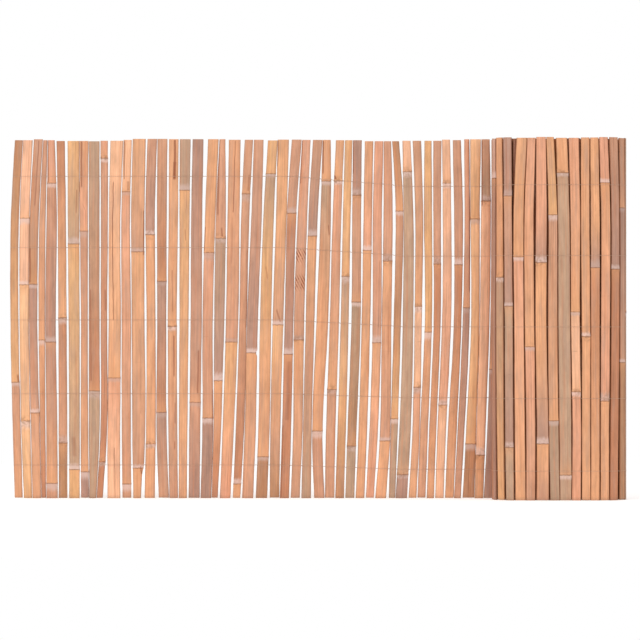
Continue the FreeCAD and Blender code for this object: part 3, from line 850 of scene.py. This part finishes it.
def streaks(tree, colour, grain, from_edge, edge):
    """Warm and dull streaks, painted shade along the edges, and specks. from_edge is in mm."""
    warm = add(tree, RANGE, pattern(tree, grain, "warm"), 0.50, 0.72, 0.0, 0.4)
    colour = stained(tree, warm, colour, "warm streak")
    dull = add(tree, RANGE, pattern(tree, grain, "dull", 3.0), 0.50, 0.75, 0.0, 0.45)
    colour = stained(tree, dull, colour, "dull streak")
    # Painted shade: each slat darkens towards both its edges, over the edge's width in mm.
    painted_edge_shade = add(tree, RANGE, from_edge, 0.2, edge["width"], edge["strength"], 0.0)
    colour = add(tree, MIX, painted_edge_shade, colour, linear(edge["tone"]), data_type="RGBA")
    specks = add(tree, RANGE, pattern(tree, grain, "speck", 3.0, 0.7), 0.68, 0.76, 0.0, 0.45)
    return stained(tree, specks, colour, "speck")


# %% The joint: a dark line, a pale waxy band on one side and a warm zone on the other
def joint_bands(tree, colour, grain, ring, off, has_ring):
    """The waxy band up to some 5 mm off the joint, and a warm zone of 34 mm on the other side."""
    fray = add(tree, MATH, pattern(tree, grain, "fray"), 0.5, operation="SUBTRACT")
    frayed = add(tree, MATH, fray, 4.0, off, operation="MULTIPLY_ADD")
    waxy = add(tree, MATH,
               add(tree, RANGE, off, 0.2, 0.9),
               add(tree, RANGE, frayed, 3.4, 6.6, 1.0, 0.0), operation="MULTIPLY")
    waxy = add(tree, MATH, waxy, add(tree, RANGE, ring["Y"], 0.0, 0.6), operation="MULTIPLY")
    strong = add(tree, RANGE, ring["Y"], 0.45, 0.9)
    band = stained(tree, strong, linear(STAINS["faint band"]), "waxy band")
    pale = add(tree, MIX, 0.66, colour, band, data_type="RGBA")
    colour = add(tree, MIX, waxy, colour, pale, data_type="RGBA")
    warm = add(tree, MATH, add(tree, RANGE, off, -34.0, -0.8), 2.0, operation="POWER")
    before = add(tree, RANGE, off, -0.6, 0.0, 0.45, 0.0)
    warm = add(tree, MATH, warm, before, operation="MULTIPLY")
    warm = add(tree, MATH, warm, has_ring, operation="MULTIPLY")
    return stained(tree, warm, colour, "warm zone")


def joint_line(tree, colour, grain, ring, off, has_ring):
    """The blots round a smudged joint, and its line, about 1 mm wide and worn in places."""
    away = add(tree, MATH, off, operation="ABSOLUTE")
    blots = add(tree, RANGE, pattern(tree, grain, "dirt", 3.0), 0.42, 0.66)
    near = add(tree, RANGE, away, 1.0, 9.0, 0.8, 0.0)
    smudge = add(tree, MATH, blots, near, operation="MULTIPLY")
    smudge = add(tree, MATH, smudge, ring["Z"], operation="MULTIPLY")
    colour = stained(tree, smudge, colour, "smudge")
    line = add(tree, RANGE, away, 0.2, 1.1, 0.75, 0.0)
    worn = add(tree, RANGE, pattern(tree, grain, "worn"), 0.3, 0.6, 0.45, 1.0)
    line = add(tree, MATH, line, worn, operation="MULTIPLY")
    line = add(tree, MATH, line, has_ring, operation="MULTIPLY")
    return stained(tree, line, colour, "joint line"), line


# %% Cracks and scratches
def torn_fibres(tree, grain, place, crack, scar):
    """How much cracks and marks along the fibres, one painted shade, and slanting scratches show."""
    drift = add(tree, MATH, pattern(tree, grain, "drift"), 0.5, operation="SUBTRACT")
    drift = add(tree, MATH, drift, 1.6, operation="MULTIPLY")
    away = add(tree, MATH, place["X"], crack["X"], operation="SUBTRACT")
    away = add(tree, MATH, away, drift, operation="SUBTRACT")
    away = add(tree, MATH, away, operation="ABSOLUTE")
    width = add(tree, MATH, crack["Z"], 0.1, operation="MAXIMUM")
    share = add(tree, MATH, away, width, operation="DIVIDE")
    torn_and_shaded = add(tree, RANGE, share, 0.5, 1.3, 1.0, 0.0)
    torn_and_shaded = add(tree, MATH, torn_and_shaded, crack["Y"], operation="MULTIPLY")
    slant = add(tree, MATH, place["X"], 1.9, place["Y"], operation="MULTIPLY_ADD")
    slant = add(tree, MATH, drift, 2.0, slant, operation="MULTIPLY_ADD")
    slant = add(tree, MATH, slant, 3.6, operation="PINGPONG")
    scratch = add(tree, RANGE, slant, 1.0, 2.0, 1.0, 0.0)
    scratch = add(tree, MATH, scratch, scar, operation="MULTIPLY")
    skips = add(tree, RANGE, pattern(tree, grain, "skip"), 0.4, 0.5, 0.35, 1.0)
    scratch = add(tree, MATH, scratch, skips, operation="MULTIPLY")
    return add(tree, MATH, torn_and_shaded, scratch, operation="MAXIMUM")


# %% The inner side of the stem, and the sawn ends with the dots of its bundles
def pith_and_ends(tree, colour, grain, within):
    """The pith side where within is 1, and cut bundles 0.7 mm apart on level faces."""
    soft = add(tree, MIX, 0.35, linear(STAINS["pith side"]), colour, data_type="RGBA")
    coarse = add(tree, RANGE, pattern(tree, grain, "coarse", 3.0, 0.7), 0.2, 0.8, 0.72, 1.15)
    soft = add(tree, VECTOR, soft, coarse, operation="SCALE")
    colour = add(tree, MIX, within, colour, soft, data_type="RGBA")
    facing = add(tree, SPLIT, add(tree, "ShaderNodeNewGeometry").outputs["Normal"]).outputs["Z"]
    sawn = add(tree, RANGE, add(tree, MATH, facing, operation="ABSOLUTE"), 0.6, 0.8)
    spot = add(tree, "ShaderNodeTexCoord").outputs["Object"]
    dots = add(tree, "ShaderNodeTexVoronoi", spot, 1500.0)
    bundles = add(tree, RANGE, dots, 0.18, 0.34, 0.75, 0.0)
    cut = stained(tree, bundles, linear(STAINS["sawn end"]), "bundle")
    return add(tree, MIX, sawn, colour, cut, data_type="RGBA")


# %% Bamboo
def bamboo_material(name, edge):
    """Dry split bamboo. Its colour and joints come from the slat, its fibres from noise."""
    material = bpy.data.materials.new(name)
    material.use_nodes = True
    tree = material.node_tree
    shader = tree.nodes["Principled BSDF"]
    layers = {label: add(tree, "ShaderNodeAttribute", attribute_name=label).outputs
              for label in ("grain", "tone", "ring", "crack", "side_of", "scar")}
    grain = layers["grain"]["Vector"]
    place, ring, crack, side_of = [
        add(tree, SPLIT, layers[label]["Vector"]).outputs
        for label in ("grain", "ring", "crack", "side_of")]

    colour, fine, streak = fibres(tree, grain, layers["tone"]["Color"])
    colour = streaks(tree, colour, grain, side_of["X"], edge)
    wobble = add(tree, MATH, pattern(tree, grain, "wobble"), 0.5, operation="SUBTRACT")
    off = add(tree, MATH, wobble, 1.6, ring["X"], operation="MULTIPLY_ADD")
    has_ring = add(tree, RANGE, ring["Y"], 0.0, 0.3)
    colour = joint_bands(tree, colour, grain, ring, off, has_ring)
    colour, line = joint_line(tree, colour, grain, ring, off, has_ring)
    # Painted shade: each slat darkens over its lowest 5 mm, down to the floor.
    foot = add(tree, RANGE, place["Y"], 0.5, 5.0, 0.4, 0.0)
    colour = stained(tree, foot, colour, "painted foot shade")
    torn_and_shaded = torn_fibres(tree, grain, place, crack, layers["scar"]["Fac"])
    colour = stained(tree, torn_and_shaded, colour, "crack")
    within = add(tree, RANGE, side_of["Y"], 0.0, 1.0)
    colour = pith_and_ends(tree, colour, grain, within)
    feed(tree, shader.inputs["Base Color"], colour)

    dull = add(tree, MATH, within, 0.85, operation="MULTIPLY")
    rough = add(tree, RANGE, fine, 0.3, 0.7, 0.5, 0.66)
    rough = add(tree, MATH, rough, dull, operation="MAXIMUM")
    feed(tree, shader.inputs["Roughness"], rough)
    shader.inputs["Specular IOR Level"].default_value = 0.3
    relief = add(tree, MATH, streak, 0.5, operation="MULTIPLY")
    relief = add(tree, MATH, fine, 0.6, relief, operation="MULTIPLY_ADD")
    relief = add(tree, MATH, torn_and_shaded, -1.5, relief, operation="MULTIPLY_ADD")
    relief = add(tree, MATH, line, -0.8, relief, operation="MULTIPLY_ADD")
    bump = add(tree, "ShaderNodeBump", {"Height": relief, "Strength": 0.55, "Distance": 0.25 * MM})
    feed(tree, shader.inputs["Normal"], bump)
    print(name, len(tree.nodes), "nodes")
    return material


OPEN_RUN_EDGE_SHADE = {"tone": "#A3806A", "strength": 0.42, "width": 2.0}     # painted shade along the edges of the open run's slats
SHADED_EDGE = {"tone": "#8A4E2A", "strength": 0.6, "width": 1.3}     # by the next turn's shade
bamboo = bamboo_material("Split bamboo, sun-dried", OPEN_RUN_EDGE_SHADE)
rolled = bamboo_material("Split bamboo, shaded in the roll", SHADED_EDGE)

# %% [markdown]
# ## Growing the slats
#
# Each of the record's four bamboo finishes becomes one piece of the open run, so four meshes
# stand for 52 slats. The roll's outer turn and its inner
# slats are a piece each. The slats inside are dark, have no joints and need few sections,
# because next to nothing shows of them but their ends.

# %% Smooth faces, sharp edges
KEPT_EDGE = math.radians(50)


def soften(piece):
    """Shades a piece smooth, but keeps the edges that turn by more than KEPT_EDGE."""
    piece.data.shade_smooth()
    piece.data.set_sharp_from_angle(angle=KEPT_EDGE)


# %% The open run
tree = slat_tree()
slot_of = {part["node"]: part["material_slot"] for part in frame["record"]["subparts"]}
for slot in ("bamboo_honey", "bamboo_salmon", "bamboo_brown", "bamboo_khaki"):
    picked = [n for n in range(OPEN_SLATS) if slot_of["slat_%02d" % (n + 1)] == slot]
    words = [OPEN_TONES[n] for n in picked]
    mesh = guide_mesh(slot, [open_run[n] for n in picked], words, SECTIONS, 11)
    piece = grow(slot.replace("bamboo", "open_run"), mesh, tree, {
        "Template": front_template, "Sections": float(SECTIONS), "Unevenness": 0.25 * MM,
        "Pith": 0.4, "Seed": float(picked[0] * 7), "Material": bamboo})
    soften(piece)
    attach(piece, "root")
    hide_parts(*["slat_%02d" % (n + 1) for n in picked])

# %% The roll's outer turn
mesh = guide_mesh("outer", outer_turn, ROLL_TONES, SECTIONS, 23, ROLL_TRIM)
piece = grow("roll_outer_turn", mesh, tree, {
    "Template": front_template, "Sections": float(SECTIONS), "Unevenness": 0.25 * MM,
    "Pith": 0.0, "Seed": 300.0, "Material": rolled})
soften(piece)
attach(piece, "root")
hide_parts("roll_outer_slats")

# %% The slats inside the roll, cut a little unevenly
SLAT_LENGTH = 500.0       # mm
rng = np.random.default_rng(5)
# The slats inside the roll get only D and X, the tones of painted shade.
core_tones = [rng.choice(list("DDX")) for slat in core]
for slat in core:
    slat["z"] = np.array([rng.uniform(0.0, 0.8), SLAT_LENGTH - rng.uniform(0.0, 1.6)]) * MM
mesh = guide_mesh("core", core, core_tones, CORE_SECTIONS, 31)
piece = grow("roll_inner_slats", mesh, tree, {
    "Template": core_template, "Sections": float(CORE_SECTIONS), "Unevenness": 0.2 * MM,
    "Pith": 0.0, "Seed": 500.0, "Material": rolled})
soften(piece)
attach(piece, "root")
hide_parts("roll_inner_turns")
for spare in (front_template, core_template):
    bpy.data.objects.remove(spare)

# %% [markdown]
# ## The wires
#
# Each of the five wires is one strand bent double round the first slat. One half lies on the
# skin side of the slats, the other on the flat side, and they twist once in every gap. A
# curve could be drawn for one slat and repeated, but no two slats or gaps are alike, so the
# points are worked out from the slats themselves, and a small tree gives them a round section.

# %% Where a strand lies on a slat, in mm
HUG = 0.1 * MM            # in from the slat's edge, where a strand comes over the corner
SHOULDER = 1.6 * MM       # in from the edge, where it lies down on the skin
CORNER = 1.25 * MM        # out from the slat's middle as it comes over the corner
LAY = HALF_THICK + WIRE_RADIUS
NARROW_GAP = 1.2 * MM     # the strands don't twist in gaps under this
TWIST_STEPS = (0.15, 0.26, 0.38, 0.5, 0.62, 0.74, 0.85)    # shares of the way across a gap


# %% The height of a wire
def wire_heights(row):
    """Where along X a wire changes height, and its height there, from its CAD node."""
    points = solids_of("binding_wire_%d" % row)[0]
    face = open_run[0]["normal"][1] * open_run[0]["middle"] - HALF_THICK - 2 * WIRE_RADIUS
    strand = points[np.abs(points[:, 1] - face) < 0.05 * MM]
    xs = np.unique(np.round(strand[:, 0], 5))
    return xs, np.array([strand[np.abs(strand[:, 0] - x) < WELD][:, 2].mean() for x in xs])


def height_at(n, xs, zs):
    """A wire's height at slat n of the mat. Round the roll it stays level."""
    if n >= len(open_run):
        return zs[-1]
    slat = mat[n]
    middle_x = (slat["across"] * (slat["left"][0] + slat["right"][0]) / 2)[0]
    return float(np.interp(middle_x, xs, zs))


# %% Places on a slat
def at(slat, a, b, z):
    """A point that far along a slat's width and out from its middle."""
    x, y = slat["across"] * a + slat["normal"] * (slat["middle"] + b)
    return np.array([x, y, z])


def edge_at(slat, side, z):
    """Where along its width the slat's left or right edge lies at a height."""
    return float(np.interp(z, slat["z"], slat[side]))


# %% The twist in a gap
def twist(start, end, out):
    """The points of both strands from start to end, one whole turn round each other."""
    up = np.array([0.0, 0.0, 1.0])
    turns = 1.0 if np.linalg.norm(end - start) > NARROW_GAP else 0.0
    one, other = [], []
    for t in TWIST_STEPS:
        angle = 2 * math.pi * turns * (t * t * (3 - 2 * t))
        arm = (math.cos(angle) * out + math.sin(angle) * up) * WIRE_RADIUS * 1.05
        one.append(start + (end - start) * t + arm)
        other.append(start + (end - start) * t - arm)
    return one, other


# %% The whole way of a wire
def wire_points(row):
    """From the roll along the skin side, round the first slat, and back on the flat side."""
    xs, zs = wire_heights(row)
    skin, flat = [], []
    for n, slat in enumerate(mat):
        z = height_at(n, xs, zs)
        left = edge_at(slat, "left", z)
        right = edge_at(slat, "right", z)
        skin += [at(slat, left + HUG, CORNER, z), at(slat, left + SHOULDER, LAY, z),
                 at(slat, right - SHOULDER, LAY, z), at(slat, right - HUG, CORNER, z)]
        flat += [at(slat, left + HUG, -LAY, z), at(slat, right - HUG, -LAY, z)]
        if n + 1 == len(mat):
            break
        following = mat[n + 1]
        next_z = height_at(n + 1, xs, zs)
        end = at(following, edge_at(following, "left", next_z), 0, next_z)
        out = np.array([*(slat["normal"] + following["normal"]), 0.0])
        one, other = twist(at(slat, right, 0, z), end, out / np.linalg.norm(out))
        skin += one
        flat += other
    first = mat[0]
    z = zs[0]
    left = edge_at(first, "left", z)
    bend = [at(first, left - 0.3 * MM, 0.9 * MM, z), at(first, left - 0.3 * MM, 0.0, z),
            at(first, left - 0.3 * MM, -1.3 * MM, z), at(first, left - 0.1 * MM, -1.85 * MM, z)]
    return skin[::-1] + bend + flat


# %% The wire tree
def wire_tree():
    """A tube round a path."""
    tree, given, result = new_tree("Round wire on a path", {
        "Wire Radius": "Float", "Sides": "Int", "Material": "Material"})
    path = add(tree, "GeometryNodeMeshToCurve", given["Geometry"])
    ring = add(tree, "GeometryNodeCurvePrimitiveCircle", given["Sides"], given["Wire Radius"])
    tube = add(tree, "GeometryNodeCurveToMesh",
               {"Curve": path, "Profile Curve": ring, "Fill Caps": True})
    tube = add(tree, REAL, tube)
    feed(tree, result, add(tree, "GeometryNodeSetMaterial", tube, True, given["Material"]))
    return tree


# %% [markdown]
# **Annealed iron wire, oxidised.** It was softened in a fire, so it has no zinc shine: its
# oxide skin is a dull grey brown that draws only a faint line over the slats, with stains
# some 4 mm long.


# %% Iron wire
def wire_material():
    """Dull brown, with little of the metal's own gloss left."""
    material = bpy.data.materials.new("Annealed iron wire, oxidised")
    material.use_nodes = True
    tree = material.node_tree
    shader = tree.nodes["Principled BSDF"]
    spot = add(tree, "ShaderNodeTexCoord").outputs["Object"]
    stain = add(tree, "ShaderNodeTexNoise", spot, 260.0, 2.0)
    skin = stained(tree, stain, linear(STAINS["dull wire"]), "bare wire")
    feed(tree, shader.inputs["Base Color"], skin)
    feed(tree, shader.inputs["Roughness"], add(tree, RANGE, stain, 0.3, 0.7, 0.4, 0.65))
    shader.inputs["Metallic"].default_value = 0.2
    return material


# %% Draw the wires
iron = wire_material()
wires_tree = wire_tree()
for row in range(1, WIRES + 1):
    points = wire_points(row)
    mesh = bpy.data.meshes.new("wire")
    mesh.from_pydata([tuple(p) for p in points], [(i, i + 1) for i in range(len(points) - 1)], [])
    piece = grow("wire_%d" % row, mesh, wires_tree, {
        "Wire Radius": DRAWN_RADIUS, "Sides": 6, "Material": iron})
    piece.data.shade_smooth()
    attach(piece, "root")
    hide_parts("binding_wire_%d" % row)

# %% [markdown]
# ## Floor, light and camera
#
# The photograph looks straight at the panel from far off, at half its height, against white.
# The white is the background's own and shows to the camera and in reflections alone, so that
# the lamps needn't be turned up until the pale bamboo burns out.

# %% Floor
FLOOR_X = 1.6             # half its width in metres
FLOOR_Y = 1.3             # and half its depth


def floor_material():
    """Matt white, with a little light of its own so that it meets the white behind it."""
    material = bpy.data.materials.new("Matt white floor")
    material.use_nodes = True
    shader = material.node_tree.nodes["Principled BSDF"]
    shader.inputs["Base Color"].default_value = linear("#F4F4F4")
    shader.inputs["Roughness"].default_value = 1.0
    shader.inputs["Specular IOR Level"].default_value = 0.0
    shader.inputs["Emission Color"].default_value = (1.0, 1.0, 1.0, 1.0)
    shader.inputs["Emission Strength"].default_value = 0.3
    return material


floor_mesh = bpy.data.meshes.new("floor")
corners = [(-FLOOR_X, -FLOOR_Y, 0), (FLOOR_X, -FLOOR_Y, 0),
           (FLOOR_X, FLOOR_Y, 0), (-FLOOR_X, FLOOR_Y, 0)]
floor_mesh.from_pydata(corners, [], [(0, 1, 2, 3)])
floor_mesh.materials.append(floor_material())
floor = bpy.data.objects.new("floor", floor_mesh)
scene.collection.objects.link(floor)

# %% White background for the camera, soft light for the rest
world = bpy.data.worlds.new("Studio")
scene.world = world
world.use_nodes = True
sky = world.node_tree
rays = add(sky, "ShaderNodeLightPath").outputs
seen = add(sky, MATH, rays["Is Glossy Ray"], rays["Is Transmission Ray"], operation="MAXIMUM")
seen = add(sky, MATH, rays["Is Camera Ray"], seen, operation="MAXIMUM")
back = sky.nodes["Background"]
back.inputs["Color"].default_value = (1.0, 1.0, 1.0, 1.0)
feed(sky, back.inputs["Strength"], add(sky, RANGE, seen, 0.0, 1.0, 0.62, 1.0))


# %% Three soft lamps
def area_light(name, place, target, size, power):
    """A square soft light that looks at a point."""
    lamp = bpy.data.lights.new(name, "AREA")
    lamp.size = size
    lamp.energy = power
    obj = bpy.data.objects.new(name, lamp)
    scene.collection.objects.link(obj)
    obj.location = place
    way = np.array(target, dtype=float) - np.array(place, dtype=float)
    flat = math.hypot(way[0], way[1])
    obj.rotation_euler = (math.atan2(flat, -way[2]), 0.0, math.atan2(way[1], way[0]) - math.pi / 2)


area_light("key", (-1.6, -2.4, 1.9), (0, 0, 0.25), 1.2, 29)
area_light("fill", (2.0, -2.6, 1.0), (0, 0, 0.25), 1.8, 11)
area_light("top", (0.0, -0.2, 2.6), (0, 0, 0.0), 2.2, 20)

# %% Camera, as far off and as high as in the photograph
PIXEL = 1.396 * MM        # size of a photo pixel at the open run
PHOTO_WIDTH = 640         # pixels
DISTANCE = 5.4            # from the open run
SENSOR = 36.0             # mm
MIDDLE = (3.5 * MM, 31.7 * MM, 248.9 * MM)    # the point of the open run in the photo's middle
camera_data = bpy.data.cameras.new("camera")
camera_data.sensor_width = SENSOR
camera_data.lens = SENSOR * DISTANCE / (PHOTO_WIDTH * PIXEL)
camera = bpy.data.objects.new("camera", camera_data)
scene.collection.objects.link(camera)
camera.location = (MIDDLE[0], MIDDLE[1] - DISTANCE, MIDDLE[2])
camera.rotation_euler = (math.pi / 2, 0.0, 0.0)
scene.camera = camera
scene.view_settings.view_transform = "Standard"
print("lens", round(camera_data.lens, 1), "mm")
